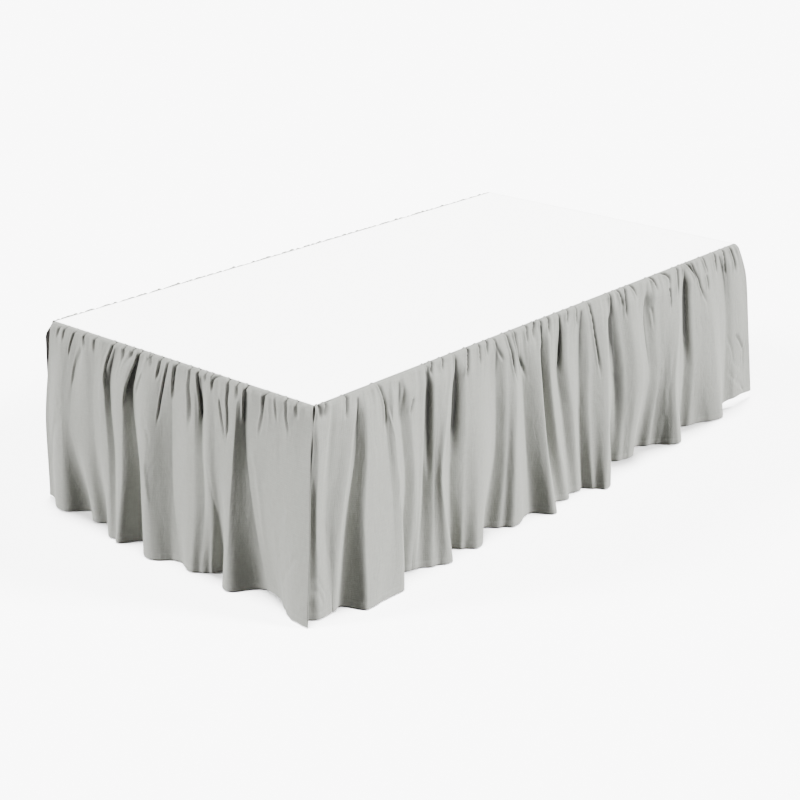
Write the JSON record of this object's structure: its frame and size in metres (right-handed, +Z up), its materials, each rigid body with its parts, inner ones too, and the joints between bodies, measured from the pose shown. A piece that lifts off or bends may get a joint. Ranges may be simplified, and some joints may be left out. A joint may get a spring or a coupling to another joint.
{
  "type": "bed skirt on a bed base",
  "caption": "Gathered bed skirt: a flat deck sheet over a plain bed base on legs, with ruffled cloth drops hanging to the floor along both sides and the foot.",
  "frame": {"origin": "on the floor under the middle of the whole part's bounding box; the bed base's middle lies at x 0.006, y -0.054", "axes": "+X across the bed, +Y towards the head end along its length, +Z up"},
  "size_m": [1.1694, 2.1411, 0.56],
  "materials": {
    "drop_cloth": "plain-woven light grey cotton, matt with a faint sheen",
    "deck_cloth": "smooth white cotton blend, matt",
    "base_cloth": "plain woven cover, matt",
    "leg_wood": "satin"
  },
  "bodies": {
    "root": {"bed_base": "base_cloth", "leg_foot_right": "leg_wood", "leg_foot_left": "leg_wood", "leg_middle_right": "leg_wood", "leg_middle_left": "leg_wood", "leg_head_right": "leg_wood", "leg_head_left": "leg_wood", "deck": "deck_cloth", "foot_panel": "drop_cloth", "side_panel_right": "drop_cloth", "side_panel_left": "drop_cloth"}
  },
  "joints": []
}
